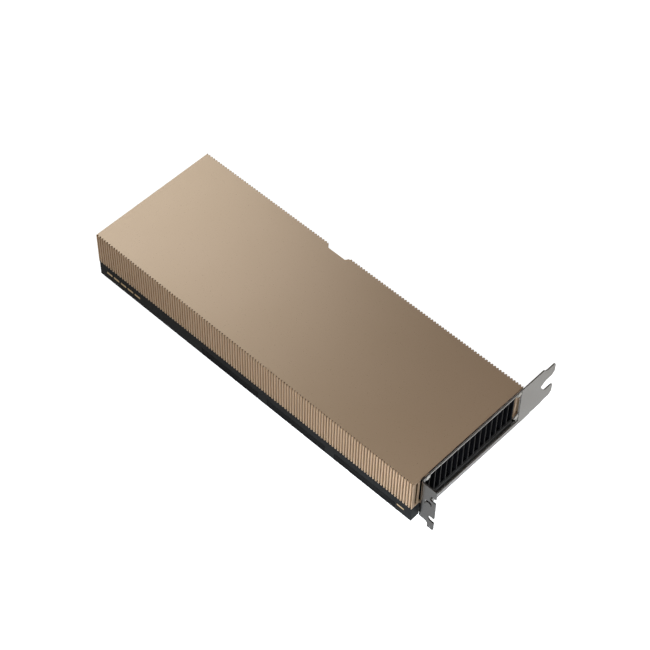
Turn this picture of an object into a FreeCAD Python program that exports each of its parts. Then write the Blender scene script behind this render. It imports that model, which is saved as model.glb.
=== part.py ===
import FreeCAD, Part
import Sketcher
import os
import re

# Passive accelerator card, two expansion slots wide, lying with its component side up.
# X = 0 is the outer face of the bracket and the card runs towards -X.
# Y = 0 is the long edge that faces up once the card is installed, and +Y is the edge-connector side.
# Z = 0 is the underside of the case.  Millimetres throughout.

os.makedirs("parts", exist_ok=True)
doc = FreeCAD.newDocument("accelerator_card")
sheet = doc.addObject("Spreadsheet::Sheet", "dims")

SIZES = {
    # whole card
    "sheet_thickness": 0.86, "end_gap": 0.86, "cover_length": 266.0, "cover_width": 96.7,
    "cover_top": 37.8, "band_height": 12.6, "cut_margin": 0.5,
    # cover
    "cover_roof": 1.6, "cover_wall": 2.6, "end_frame_depth": 3.0, "end_slot": 1.6, "end_bar": 1.8,
    "sill_height": 1.6, "flute_count": 123, "flute_depth": 0.9, "flute_mouth": 1.2, "flute_floor": 0.7,
    "latch_offset": 9.1, "latch_mouth": 18.8, "latch_floor": 14.6, "latch_depth": 3.05, "latch_wall": 1.2,
    "case_boss_side": 5.4, "case_boss_height": 5.6,
    # threaded holes in the tail for a long-card extender
    "extender_inset": 5.4, "extender_margin": 5.0, "extender_boss_side": 6.0,
    "extender_thread_radius": 1.25, "extender_depth": 8.0, "extender_boss_length": 9.5,
    # frame, case screws
    "frame_inset": 0.3, "frame_wall": 2.5, "block_length": 12.0, "block_margin": 2.2, "fit_gap": 0.2,
    "screw_inset": 5.1, "screw_first": 10.5, "screw_last": 32.42, "case_screw_radius": 1.0,
    "screw_clearance": 0.15, "case_screw_length": 16.9, "case_head_radius": 1.9, "case_head_height": 0.9,
    "case_head_recess": 0.1,
    # bridge connectors
    "cap_count": 3, "cap_first": 38.6, "cap_pitch": 56.2, "cap_side": 1.9, "cap_drop": 1.57,
    "cap_height": 5.4, "cap_recess": 0.15, "cap_face": 1.2, "bridge_tongue_width": 44.6,
    # board
    "board_bottom": 2.67, "board_thickness": 1.57, "board_front_gap": 0.9, "board_overhang": 6.5,
    "tongue_reach": 8.25, "tongue_bevel": 1.3, "tongue_bevel_drop": 0.45, "tongue_start": 56.2,
    "short_tongue": 11.65, "key_gap": 1.9, "long_tongue": 71.65, "key_depth": 7.6,
    "hook_gap": 3.8, "hook_width": 4.6, "hook_reach": 6.6, "hook_toe": 2.0, "hook_toe_height": 2.4,
    "contact_pitch": 1.0, "contact_width": 0.7, "contact_length": 4.3, "contact_thickness": 0.05,
    "contact_setback": 1.5, "short_contacts": 11, "long_contacts": 71,
    # backplate
    "plate_thickness": 1.4, "plate_overhang": 2.6,
    # bracket
    "tab_face": 5.08, "tab_reach": 11.3, "bend_radius": 2.0, "tongue_overhang": 28.4,
    "bracket_bottom": 3.25, "bracket_rise": 0.5, "slot_pitch": 20.32, "relief_length": 20.6,
    "relief_depth": 0.85, "shoulder_length": 10.9, "tongue_length": 7.7, "tongue_width": 10.19,
    "tongue_low_centre": 10.3, "tongue_chamfer": 1.3, "tongue_taper": 2.4, "crotch_length": 12.1,
    "crotch_step": 0.8, "crotch_rise": 2.4, "shoulder_step": 1.4, "shoulder_drop": 1.9,
    "notch_low_centre": 8.5, "notch_radius": 2.21, "notch_depth": 4.5, "lug_start": 6.6, "lug_drop": 4.8,
    "tab_corner": 1.2, "lance_x": 6.3, "lance_z": 21.6, "lance_radius": 2.9, "lance_slit": 0.75,
    "lance_lift": 0.5,
    # window in the bracket, with a coined rim and four screw ears
    "window_near": 8.9, "window_far_inset": 3.8, "window_bottom": 8.1, "window_lip": 0.1,
    "rim_width": 0.9, "rim_depth": 0.4, "ear_near": 11.0, "ear_far_inset": 4.9, "ear_rise": 0.6,
    "ear_drop": 0.4, "ear_radius": 2.4, "ear_screw_radius": 1.0, "ear_hole_clearance": 0.2,
    "ear_head_radius": 1.7, "ear_head_height": 0.35, "ear_screw_length": 6.0, "ear_boss_side": 3.6,
    "ear_boss_length": 6.6,
    # exhaust grille
    "vane_count": 17, "vane_margin": 0.69, "vane_thickness": 1.0, "vane_depth": 10.0, "vane_nose": 0.1,
    "grille_inset": 7.4, "grille_bottom": 5.4, "rail_rise": 0.4, "rail_height": 1.4,
    "rail_lip": 0.2, "opening_gap": 0.2, "boss_clearance": 0.1,
    # processor package and its cooling
    "chip_place": 118.0, "package_width": 55.0, "package_height": 1.6, "ring_width": 4.0,
    "ring_height": 0.6, "die_length": 26.0, "die_width": 32.0, "die_height": 0.8, "stack_length": 8.0,
    "stack_width": 10.0, "stack_gap": 1.0, "stack_rows": 3, "paste_height": 0.1, "chamber_width": 76.0,
    "chamber_height": 3.0, "plenum": 5.04, "sink_clearance": 0.42, "sink_side_gap": 0.2, "base_height": 3.1,
    "fin_count": 34, "fin_thickness": 0.5, "fin_sheet": 0.4, "roof_gap": 0.3,
    # power stages
    "choke_offset": 58.0, "choke_count": 9, "choke_size": 7.0, "choke_height": 4.0, "choke_pitch": 8.4,
    "stage_offset": 68.0, "stage_length": 6.0, "stage_width": 5.0, "stage_height": 0.9,
    "can_offset": 88.0, "can_count": 6, "can_pitch": 12.5, "can_length": 4.3, "can_width": 7.3,
    "can_height": 2.8, "can_rows": 2, "can_row_pitch": 7.5,
    "logic_gap": 10.85, "logic_shift": 10.0, "logic_size": 7.0, "logic_height": 0.9,
    "logic_pitch": 20.0, "logic_count": 3,
    # power inlet
    "socket_near": 9.0, "socket_width": 18.6, "socket_length": 12.8, "socket_height": 9.6,
    "chamber_pitch": 4.2, "chamber_size": 3.5, "chamber_depth": 9.6, "pin_size": 1.1, "pin_setback": 2.0,
    "pin_tail": 1.5, "pin_rows": 2, "pin_columns": 4, "pin_row_step": 3.0,
}

DERIVED = {
    "cover_front": "-(sheet_thickness + end_gap)",
    "cover_back": "cover_front - cover_length",
    "mid_width": "cover_width / 2",
    "extender_low": "band_height + extender_margin",
    "extender_high": "cover_top - extender_margin",
    "flute_pitch": "cover_length / flute_count",
    "opening_bottom": "band_height + sill_height",
    "opening_top": "cover_top - cover_roof",
    "opening_side": "cover_wall + end_slot + end_bar",
    "frame_near": "frame_inset",
    "frame_far": "cover_width - frame_inset",
    "frame_inner_near": "frame_near + frame_wall",
    "frame_inner_far": "frame_far - frame_wall",
    "screw_far": "cover_width - screw_inset",
    "screw_back": "cover_back + screw_last",
    "countersink_radius": "case_screw_radius + (case_head_radius - case_screw_radius)"
                          " * (case_head_recess + case_head_height) / case_head_height",
    "boss_inner": "screw_inset + case_boss_side / 2",
    "board_top": "board_bottom + board_thickness",
    "board_front": "cover_front - board_front_gap",
    "board_back": "cover_back + frame_wall + fit_gap",
    "board_near_edge": "frame_inner_near + fit_gap",
    "board_far_edge": "frame_far + board_overhang",
    "tongue_end": "board_far_edge + tongue_reach",
    "plate_far_edge": "frame_far + plate_overhang",
    "block_far": "screw_inset + block_margin",
    "block_back": "cover_front - block_length",
    "cap_width": "bridge_tongue_width + 2 * cap_side",
    "cap_bottom": "board_bottom - cap_drop",
    "cap_top": "cap_bottom + cap_height",
    "cap_outer": "frame_near + cap_recess",
    "cap_slot": "cap_outer + cap_face",
    "cap_depth": "frame_inner_near - cap_outer",
    "key_start": "-(tongue_start + short_tongue)",
    "long_start": "key_start - key_gap",
    "long_end": "long_start - long_tongue",
    "latch_place": "latch_offset - long_end",
    "tongue_tip": "cover_width + tongue_overhang",
    "relief_start": "tongue_tip - relief_length",
    "shoulder": "tongue_tip - shoulder_length",
    "tongue_root": "tongue_tip - tongue_length",
    "crotch": "tongue_tip - crotch_length",
    "bracket_top": "cover_top + bracket_rise",
    "window_far": "cover_width - window_far_inset",
    "window_top": "opening_top - window_lip",
    "ear_far": "cover_width - ear_far_inset",
    "ear_low": "band_height + ear_rise",
    "ear_high": "opening_top - ear_drop",
    "plate_back": "-sheet_thickness",
    "chip_x": "-chip_place",
    "package_top": "board_top + package_height",
    "die_top": "package_top + die_height",
    "chamber_bottom": "die_top + paste_height",
    "base_bottom": "chamber_bottom + chamber_height",
    "fin_bottom": "base_bottom + base_height",
    "fin_top": "opening_top - roof_gap",
    "heatsink_inset": "boss_inner + sink_side_gap",
    "heatsink_front": "grille_front - vane_depth - plenum",
    "heatsink_back": "cover_back + socket_length + pin_tail + (pin_rows - 1) * pin_row_step"
                     " + sink_clearance",
    "heatsink_length": "heatsink_front - heatsink_back",
    "heatsink_width": "cover_width - 2 * heatsink_inset",
    "fin_pitch": "(heatsink_width - fin_thickness) / (fin_count - 1)",
    "grille_far": "cover_width - grille_inset",
    "first_vane": "grille_inset + vane_margin",
    "vane_pitch": "(grille_far - vane_margin - first_vane - vane_thickness) / (vane_count - 1)",
    "rail_bottom": "band_height + rail_rise",
    "grille_front": "plate_back - vane_nose",
    "vane_bottom": "rail_bottom + rail_height",
    "vane_top": "opening_top - opening_gap",
}

for row, (alias, number) in enumerate(SIZES.items(), 1):
    sheet.set(f"A{row}", alias)
    sheet.set(f"B{row}", str(number))
    sheet.setAlias(f"B{row}", alias)
doc.recompute()


def rule(text):
    """Turn words into an expression on the sheet: derived words open up, driving words get its name."""
    def swap(found):
        word = found[0]
        if word in DERIVED:
            return "(" + rule(DERIVED[word]) + ")"
        return "dims." + word if word in SIZES else word
    return re.sub(r"[a-z]\w*", swap, str(text))


def value(text):
    return float(sheet.evalExpression(rule(text)))


def bind(item, **rules):
    for name, text in rules.items():
        item.setExpression(name.replace("__", "."), rule(text))
    return item


def place(item, x, y, z):
    return bind(item, Placement__Base__x=x, Placement__Base__y=y, Placement__Base__z=z)


# ---- features ---------------------------------------------------------------------------------------

PLANES = {"x": "YZ_Plane", "y": "XZ_Plane", "z": "XY_Plane"}
UP = FreeCAD.Vector(0, 0, 1)
TOLERANCE = 0.01


def new_body(label):
    body = doc.addObject("PartDesign::Body", label)
    body.Label = label
    return body


def origin_item(body, role):
    return next(item for item in body.Origin.OriginFeatures if item.Role == role)


def outline(*corners):
    return ("outline", corners)


def rectangle(u_low, u_high, v_low, v_high):
    return outline((u_low, v_low), (u_high, v_low), (u_high, v_high), (u_low, v_high))


def square(u, v, side):
    half = f"({side}) / 2"
    return rectangle(f"{u} - {half}", f"{u} + {half}", f"{v} - {half}", f"{v} + {half}")


def disc(u, v, radius):
    return ("disc", (u, v), radius)


def tie(sketch, kind, geometry, point, text):
    """Fix one coordinate of a point, or one radius, by a rule."""
    if kind == "Radius":
        limit = Sketcher.Constraint(kind, geometry, value(text))
    else:
        limit = Sketcher.Constraint(kind, -1, 1, geometry, point, value(text))
    sketch.setExpression(f"Constraints[{sketch.addConstraint(limit)}]", rule(text))


def draw(sketch, shape):
    """Add one closed outline or one disc, every corner and centre tied to the sheet."""
    if shape[0] == "disc":
        (u, v), radius = shape[1:]
        circle = Part.Circle(FreeCAD.Vector(value(u), value(v), 0), UP, value(radius))
        index = sketch.addGeometry(circle, False)
        tie(sketch, "DistanceX", index, 3, u)
        tie(sketch, "DistanceY", index, 3, v)
        tie(sketch, "Radius", index, 0, radius)
        return
    corners = shape[1]
    spots = [FreeCAD.Vector(value(u), value(v), 0) for u, v in corners]
    lines = [Part.LineSegment(a, b) for a, b in zip(spots, spots[1:] + spots[:1])]
    first = sketch.addGeometry(lines, False)[0]
    count = len(corners)
    for step in range(count):
        following = first + (step + 1) % count
        sketch.addConstraint(Sketcher.Constraint("Coincident", first + step, 2, following, 1))
    for step, (u, v) in enumerate(corners):
        tie(sketch, "DistanceX", first + step, 1, u)
        tie(sketch, "DistanceY", first + step, 1, v)


def feature(kind, body, name, axis, start, depth, *shapes):
    """Pad or pocket that begins at `start` on the axis and runs `depth` towards its positive end."""
    sketch = body.newObject("Sketcher::SketchObject", name + "_sketch")
    sketch.AttachmentSupport = [(origin_item(body, PLANES[axis]), "")]
    sketch.MapMode = "FlatFace"
    sign = "-1 * " if axis == "y" else ""
    sketch.setExpression("AttachmentOffset.Base.z", rule(f"{sign}({start})"))
    for shape in shapes:
        draw(sketch, shape)
    item = body.newObject("PartDesign::" + kind, name)
    item.Profile = sketch
    bind(item, Length=depth)
    item.Reversed = (axis == "y") == (kind == "Pad")
    body.Tip = item
    sketch.Visibility = False
    return item


def pad(*arguments):
    return feature("Pad", *arguments)


def pocket(*arguments):
    return feature("Pocket", *arguments)


def repeat(body, original, role, pitch, count):
    pattern = body.newObject("PartDesign::LinearPattern", original.Name + "_row")
    pattern.Originals = [original]
    pattern.Direction = (origin_item(body, role), [""])
    pattern.Mode = "Spacing"
    bind(pattern, Offset=pitch, Occurrences=count)
    body.Tip = pattern
    return pattern


def round_edges(body, name, radius, wanted):
    """Fillet the edges of the tip whose middle and length satisfy `wanted`."""
    doc.recompute()
    base = body.Tip
    names = [
        f"Edge{index}" for index, edge in enumerate(base.Shape.Edges, 1)
        if wanted(edge.CenterOfMass, edge)
    ]
    item = body.newObject("PartDesign::Fillet", name)
    item.Base = (base, names)
    bind(item, Radius=radius)
    body.Tip = item
    return item


def near(number, text):
    return abs(number - value(text)) < TOLERANCE


# ---- plain solids -----------------------------------------------------------------------------------

def box(label, x, y, z, length, width, height):
    item = place(doc.addObject("Part::Box", label), x, y, z)
    return bind(item, Length=length, Width=width, Height=height)


def cylinder(label, x, y, z, radius, height, axis="z"):
    item = doc.addObject("Part::Cylinder", label)
    if axis == "x":
        item.Placement.Rotation = FreeCAD.Rotation(FreeCAD.Vector(0, 1, 0), 90)
    place(item, x, y, z)
    return bind(item, Radius=radius, Height=height)


def cone(label, x, y, z, low_radius, high_radius, height):
    item = place(doc.addObject("Part::Cone", label), x, y, z)
    return bind(item, Radius1=low_radius, Radius2=high_radius, Height=height)


def fuse(label, shapes):
    item = doc.addObject("Part::MultiFuse", label)
    item.Shapes = shapes
    return item


def group(label, items):
    item = doc.addObject("Part::Compound", label)
    item.Links = items
    item.Label = label
    return item


def steps(word):
    return range(int(SIZES[word]))


# ---- places shared by several pieces ----------------------------------------------------------------

CASE_SCREWS = [
    (x, y) for x in ("-screw_first", "screw_back") for y in ("screw_inset", "screw_far")
]
CAPS = [f"-(cap_first + {step} * cap_pitch)" for step in steps("cap_count")]
EARS = [(y, z) for y in ("ear_near", "ear_far") for z in ("ear_low", "ear_high")]
EXTENDER = [
    (y, z) for y in ("extender_inset", "cover_width - extender_inset")
    for z in ("extender_low", "extender_high")
]
FRONT_CORNER = rectangle(
    "block_back - fit_gap", "cover_front + cut_margin", "frame_near", "block_far + fit_gap"
)
PIN_SPOTS = [
    (f"socket_near + socket_width / 2 + ({column} - (pin_columns - 1) / 2) * chamber_pitch",
     f"board_top + socket_height / 2 + ({line} - (pin_rows - 1) / 2) * chamber_pitch", line)
    for line in steps("pin_rows") for column in steps("pin_columns")
]


# ---- cover ------------------------------------------------------------------------------------------

def make_cover():
    body = new_body("top_cover")
    height = "cover_top - band_height"
    pad(body, "cover_block", "z", "band_height", height,
        rectangle("cover_back", "cover_front", "0", "cover_width"))
    pocket(body, "cover_hollow", "z", "band_height", f"{height} - cover_roof",
           rectangle("cover_back + end_frame_depth", "cover_front - end_frame_depth",
                     "cover_wall", "cover_width - cover_wall"))
    opening = ("opening_bottom", "opening_top")
    pocket(body, "end_openings", "x", "cover_back - cut_margin", "cover_length + 2 * cut_margin",
           rectangle("cover_wall", "cover_wall + end_slot", *opening),
           rectangle("opening_side", "cover_width - opening_side", *opening),
           rectangle("cover_width - cover_wall - end_slot", "cover_width - cover_wall", *opening))
    pad(body, "latch_backing", "z", "band_height", f"{height} - cover_roof / 2",
        rectangle("-(latch_place + latch_mouth / 2 + latch_wall)",
                  "-(latch_place - latch_mouth / 2 - latch_wall)",
                  "cover_width - latch_depth - latch_wall", "cover_width - cover_wall / 2"))
    case_bosses(body)
    pad(body, "ear_bosses", "x", "plate_back - ear_boss_length", "ear_boss_length",
        *[square(y, z, "ear_boss_side") for y, z in EARS])
    pad(body, "extender_bosses", "x", "cover_back", "extender_boss_length",
        *[square(y, z, "extender_boss_side") for y, z in EXTENDER])
    pocket(body, "case_threads", "z", "board_top", "case_head_recess + case_screw_length - board_top",
           *[disc(x, y, "case_screw_radius") for x, y in CASE_SCREWS])
    pocket(body, "ear_threads", "x", "-rim_depth - ear_screw_length", "ear_screw_length",
           *[disc(y, z, "ear_screw_radius") for y, z in EARS])
    pocket(body, "extender_threads", "x", "cover_back", "extender_depth",
           *[disc(y, z, "extender_thread_radius") for y, z in EXTENDER])
    pocket(body, "socket_relief", "z", "band_height", "sill_height",
           rectangle("cover_back - cut_margin", "cover_back + end_frame_depth",
                     "socket_near - fit_gap", "socket_near + socket_width + fit_gap"))
    pocket(body, "latch_notch", "z", "band_height", height,
           outline(("-latch_place - latch_mouth / 2", "cover_width + cut_margin"),
                   ("-latch_place - latch_mouth / 2", "cover_width"),
                   ("-latch_place - latch_floor / 2", "cover_width - latch_depth"),
                   ("-latch_place + latch_floor / 2", "cover_width - latch_depth"),
                   ("-latch_place + latch_mouth / 2", "cover_width"),
                   ("-latch_place + latch_mouth / 2", "cover_width + cut_margin")))
    flute = pocket(body, "flute_pair", "z", "band_height", height,
                   flute_outline("0", "-", "+"), flute_outline("cover_width", "+", "-"))
    repeat(body, flute, "X_Axis", "flute_pitch", "flute_count")


def case_bosses(body):
    """Blocks on the long walls that take the case screws.  All but the one over the frame's solid
    block reach down inside the frame and clamp the board."""
    half = "case_boss_side / 2"
    wall = {"screw_inset": ("cover_wall / 2", "boss_inner"),
            "screw_far": ("cover_width - boss_inner", "cover_width - cover_wall / 2")}
    leg = {"screw_inset": ("board_near_edge", "boss_inner"),
           "screw_far": ("cover_width - boss_inner", "frame_inner_far - fit_gap")}
    pad(body, "case_boss_roots", "z", "band_height", "case_boss_height",
        *[rectangle(f"{x} - {half}", f"{x} + {half}", *wall[y]) for x, y in CASE_SCREWS])
    pad(body, "case_boss_legs", "z", "board_top", "band_height - board_top + case_boss_height",
        *[rectangle(f"{x} - {half}", f"{x} + {half}", *leg[y]) for x, y in CASE_SCREWS[1:]])


def flute_outline(edge, outward, inward):
    """One flute on a long side, with sloping flanks, its mouth carried past the crest of the ribs."""
    middle = "cover_back + flute_pitch / 2"
    slope = "(flute_mouth - flute_floor) / 2 / flute_depth"
    half_mouth = f"(flute_mouth / 2 + cut_margin * {slope})"
    mouth = f"{edge} {outward} cut_margin"
    floor = f"{edge} {inward} flute_depth"
    return outline((f"{middle} - {half_mouth}", mouth), (f"{middle} + {half_mouth}", mouth),
                   (f"{middle} + flute_floor / 2", floor), (f"{middle} - flute_floor / 2", floor))


# ---- frame, backplate and caps ----------------------------------------------------------------------

def make_frame():
    body = new_body("lower_frame")
    pad(body, "frame_near_side", "z", "0", "band_height",
        outline(("cover_back", "frame_near"), ("cover_front", "frame_near"), ("cover_front", "block_far"),
                ("block_back", "block_far"), ("block_back", "frame_inner_near"),
                ("cover_back + frame_wall", "frame_inner_near"),
                ("cover_back + frame_wall", "frame_far"), ("cover_back", "frame_far")))
    pad(body, "frame_far_side", "z", "board_top", "band_height - board_top",
        rectangle("cover_back + frame_wall / 2", "cover_front", "frame_inner_far", "frame_far"))
    pocket(body, "block_hole", "z", "0", "band_height",
           disc(*CASE_SCREWS[0], "case_screw_radius + screw_clearance"))
    countersink(body, "block_countersink", CASE_SCREWS[:1])
    pocket(body, "cap_windows", "y", "frame_near - cut_margin", "frame_wall + 2 * cut_margin",
           *[rectangle(f"{x} - cap_width / 2", f"{x} + cap_width / 2", "cap_bottom", "cap_top")
             for x in CAPS])
    pocket(body, "socket_window", "x", "cover_back - cut_margin", "frame_wall + 2 * cut_margin",
           rectangle("socket_near - fit_gap", "socket_near + socket_width + fit_gap",
                     "board_top", "band_height"))


def make_backplate():
    body = new_body("backplate")
    pad(body, "sheet", "z", "0", "plate_thickness",
        rectangle("board_back", "board_front", "board_near_edge", "plate_far_edge"))
    pad(body, "board_ledges", "z", "plate_thickness", "board_bottom - plate_thickness",
        rectangle("board_back", "board_front", "board_near_edge", "boss_inner"),
        rectangle("board_back", "board_front", "cover_width - boss_inner", "frame_far"))
    pocket(body, "block_corner", "z", "0", "board_bottom", FRONT_CORNER)
    pocket(body, "plate_holes", "z", "0", "board_bottom",
           *[disc(x, y, "case_screw_radius + screw_clearance") for x, y in CASE_SCREWS[1:]])
    countersink(body, "plate_countersinks", CASE_SCREWS[1:])


def countersink(body, name, spots):
    """Conical seats for the flat heads of the case screws."""
    depth = "(case_head_recess + case_head_height)"
    item = pocket(body, name, "z", "0", depth,
                  *[disc(x, y, "countersink_radius") for x, y in spots])
    bind(item, TaperAngle=f"-atan((countersink_radius - case_screw_radius) / {depth})")


def make_caps():
    for number, x in enumerate(CAPS, 1):
        body = new_body(f"bridge_cover_{number}")
        pad(body, f"cap_{number}_shell", "y", "cap_outer", "cap_depth",
            rectangle(f"{x} - cap_width / 2 + fit_gap", f"{x} + cap_width / 2 - fit_gap",
                      "cap_bottom + fit_gap", "cap_top - fit_gap"))
        pocket(body, f"cap_{number}_slot", "y", "cap_slot", "cap_depth",
               rectangle(f"{x} - bridge_tongue_width / 2 - fit_gap",
                         f"{x} + bridge_tongue_width / 2 + fit_gap", "board_bottom", "board_top"))


# ---- board ------------------------------------------------------------------------------------------

def make_board():
    body = new_body("circuit_board")
    pad(body, "laminate", "z", "board_bottom", "board_thickness",
        rectangle("board_back", "board_front", "board_near_edge", "board_far_edge"))
    toe = "tongue_end - hook_toe_height"
    hook = "long_end - hook_gap"
    pad(body, "tongue_and_hook", "z", "board_bottom", "board_thickness",
        rectangle("long_end", "-tongue_start", "board_far_edge - cut_margin", "tongue_end"),
        outline((f"{hook} - hook_width", "board_far_edge - cut_margin"),
                (hook, "board_far_edge - cut_margin"),
                (hook, "board_far_edge + hook_reach - hook_toe_height"),
                (f"{hook} + hook_toe", "board_far_edge + hook_reach - hook_toe_height"),
                (f"{hook} + hook_toe", "board_far_edge + hook_reach"),
                (f"{hook} - hook_width", "board_far_edge + hook_reach")))
    pad(body, "bridge_tongues", "z", "board_bottom", "board_thickness",
        *[rectangle(f"{x} - bridge_tongue_width / 2", f"{x} + bridge_tongue_width / 2",
                    "cap_slot", "board_near_edge + cut_margin") for x in CAPS])
    pocket(body, "key", "z", "board_bottom", "board_thickness",
           rectangle("long_start", "key_start", "tongue_end - key_depth", "tongue_end + cut_margin"))
    pocket(body, "block_clearance", "z", "board_bottom", "board_thickness", FRONT_CORNER)
    pocket(body, "board_holes", "z", "board_bottom", "board_thickness",
           *[disc(x, y, "case_screw_radius + screw_clearance") for x, y in CASE_SCREWS[1:]])
    bevel = "tongue_end - tongue_bevel"
    pocket(body, "tongue_bevels", "x", "long_end - cut_margin",
           "2 * cut_margin - tongue_start - long_end",
           outline((bevel, "board_top"), ("tongue_end", "board_top - tongue_bevel_drop"),
                   ("tongue_end", "board_top")),
           outline((bevel, "board_bottom"), ("tongue_end", "board_bottom + tongue_bevel_drop"),
                   ("tongue_end", "board_bottom")))


def make_contacts():
    """Gold contacts on both faces of the edge tongue, one short and one long run a side."""
    body = new_body("edge_contacts")
    runs = (("short", "-tongue_start", "short_tongue", "short_contacts"),
            ("long", "long_start", "long_tongue", "long_contacts"))
    faces = (("upper", "board_top"), ("lower", "board_bottom - contact_thickness"))
    far = "tongue_end - contact_setback"
    for run, start, length, count in runs:
        middle = f"({start} - {length} / 2 + ({count} - 1) / 2 * contact_pitch)"
        low = f"{middle} - contact_width / 2 - ({count} - 1) * contact_pitch"
        for face, z in faces:
            strip = pad(body, f"{face}_{run}", "z", z, "contact_thickness",
                        rectangle(low, f"{low} + contact_width", f"{far} - contact_length", far))
            repeat(body, strip, "X_Axis", "contact_pitch", count)


# ---- bracket and grille -----------------------------------------------------------------------------

def make_bracket():
    body = new_body("io_bracket")
    depth, face = "sheet_thickness", "plate_back"
    pad(body, "folded_sheet", "z", "bracket_bottom", "bracket_top - bracket_bottom",
        outline((face, "tab_face"), ("tab_reach", "tab_face"), ("tab_reach", "tab_face + sheet_thickness"),
                ("0", "tab_face + sheet_thickness"), ("0", "relief_start"), (face, "relief_start")))
    round_edges(body, "bend_outside", "bend_radius",
                lambda spot, edge: near(spot.x, face) and near(spot.y, "tab_face"))
    round_edges(body, "bend_inside", "bend_radius - sheet_thickness",
                lambda spot, edge: near(spot.x, "0") and near(spot.y, "tab_face + sheet_thickness"))
    low, high = tongue_edges("tongue_low_centre"), tongue_edges("tongue_low_centre + slot_pitch")
    throat = "tongue_low_centre + slot_pitch / 2"
    pad(body, "tongue_end_plate", "x", face, depth, outline(
        ("relief_start - cut_margin", "bracket_bottom"), ("relief_start", "bracket_bottom"),
        ("relief_start + relief_depth", "bracket_bottom + relief_depth"),
        ("tongue_root - tongue_taper", "bracket_bottom + relief_depth"),
        *low, ("crotch + crotch_step", throat), ("crotch", f"{throat} + crotch_rise"), *high,
        ("shoulder + shoulder_step", "bracket_top - shoulder_drop"),
        ("shoulder", "bracket_top"), ("relief_start - cut_margin", "bracket_top")))
    pad(body, "lug", "y", "tab_face", depth, outline(
        ("lug_start", "bracket_bottom - lug_drop"), ("tab_reach", "bracket_bottom - lug_drop"),
        ("tab_reach", "bracket_bottom + cut_margin"),
        ("lug_start - tab_corner", "bracket_bottom + cut_margin"),
        ("lug_start - tab_corner", "bracket_bottom"), ("lug_start", "bracket_bottom - tab_corner")))
    for name, z in (("low", "notch_low_centre"), ("high", "notch_low_centre + slot_pitch")):
        centre = "tab_reach - notch_depth + notch_radius"
        pocket(body, f"{name}_notch_end", "y", "tab_face", depth, disc(centre, z, "notch_radius"))
        pocket(body, f"{name}_notch_mouth", "y", "tab_face", depth,
               rectangle(centre, "tab_reach + cut_margin", f"{z} - notch_radius", f"{z} + notch_radius"))
    round_edges(body, "tab_corners", "tab_corner", lambda spot, edge: (
        near(spot.x, "tab_reach") and near(edge.Length, depth)
        and (near(spot.z, "bracket_top") or near(spot.z, "bracket_bottom - lug_drop"))))
    make_window(body, face, depth)
    make_lance(body, depth)


def tongue_edges(centre):
    """Outline of one bracket tongue, from its root below round the tip to its root above."""
    below, above = f"{centre} - tongue_width / 2", f"{centre} + tongue_width / 2"
    return [("tongue_root", below), ("tongue_tip - tongue_taper", below),
            ("tongue_tip", f"{below} + tongue_taper"), ("tongue_tip", f"{above} - tongue_chamfer"),
            ("tongue_tip - tongue_chamfer", above), ("tongue_root", above)]


def make_window(body, face, depth):
    pocket(body, "window", "x", face, depth,
           rectangle("window_near", "window_far", "window_bottom", "window_top"))
    pocket(body, "coined_rim", "x", "-rim_depth", "rim_depth + cut_margin",
           rectangle("window_near - rim_width", "window_far + rim_width",
                     "window_bottom - rim_width", "window_top + rim_width"))
    pocket(body, "ear_seats", "x", "-rim_depth", "rim_depth + cut_margin",
           *[square(y, z, "2 * (ear_head_radius + fit_gap)") for y, z in EARS])
    ear_depth = "sheet_thickness - rim_depth"
    webs = [rectangle(*sorted_pair(y, side), *sorted_pair(z, level)) for y, side, z, level in (
        ("ear_near", "window_near", "ear_low", "window_bottom"),
        ("ear_far", "window_far", "ear_low", "window_bottom"),
        ("ear_near", "window_near", "ear_high", "window_top"),
        ("ear_far", "window_far", "ear_high", "window_top"))]
    pad(body, "ear_webs", "x", face, ear_depth, *webs)
    pad(body, "ears", "x", face, ear_depth, *[disc(y, z, "ear_radius") for y, z in EARS])
    pocket(body, "ear_holes", "x", face, depth,
           *[disc(y, z, "ear_screw_radius + ear_hole_clearance") for y, z in EARS])


def sorted_pair(inner, edge):
    """Low and high rule of a web that runs from a screw's centre to the window's edge."""
    return (inner, edge) if value(inner) < value(edge) else (edge, inner)


def make_lance(body, depth):
    """A half-round tongue, cut free in the tab by a slit and lifted a little from its face."""
    pad(body, "lance_bump", "y", "tab_face - lance_lift", "lance_lift",
        disc("lance_x", "lance_z", "lance_radius - lance_slit"))
    pocket(body, "lance_slit", "y", "tab_face - lance_lift - cut_margin",
           f"{depth} + lance_lift + cut_margin",
           outline(("lance_x - lance_radius", "lance_z - lance_radius / 2"),
                   ("lance_x - lance_radius + lance_slit", "lance_z - lance_radius / 2"),
                   ("lance_x - lance_radius + lance_slit", "lance_z + lance_radius / 2"),
                   ("lance_x", "lance_z + lance_radius - lance_slit"),
                   ("lance_x", "lance_z + lance_radius"),
                   ("lance_x - lance_radius", "lance_z + lance_radius - lance_slit")))


def make_grille():
    body = new_body("exhaust_grille")
    skin = "grille_front - cover_front - rail_lip"
    pad(body, "skirt", "x", "cover_front", skin,
        rectangle("grille_inset", "grille_far", "grille_bottom", "vane_bottom"))
    pad(body, "rails", "x", "cover_front", f"{skin} + rail_lip",
        rectangle("grille_inset", "grille_far", "rail_bottom", "vane_bottom"),
        rectangle("grille_inset", "grille_far", "vane_top - rail_height", "vane_top"))
    vane = pad(body, "vane", "x", "grille_front - vane_depth", "vane_depth",
               rectangle("first_vane", "first_vane + vane_thickness", "vane_bottom", "vane_top"))
    repeat(body, vane, "Y_Axis", "vane_pitch", "vane_count")
    pocket(body, "boss_passages", "x", "plate_back - ear_boss_length - boss_clearance",
           "ear_boss_length + boss_clearance",
           *[square("ear_near", z, "ear_boss_side + 2 * boss_clearance") for z in ("ear_low", "ear_high")])


# ---- processor and cooling --------------------------------------------------------------------------

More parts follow.
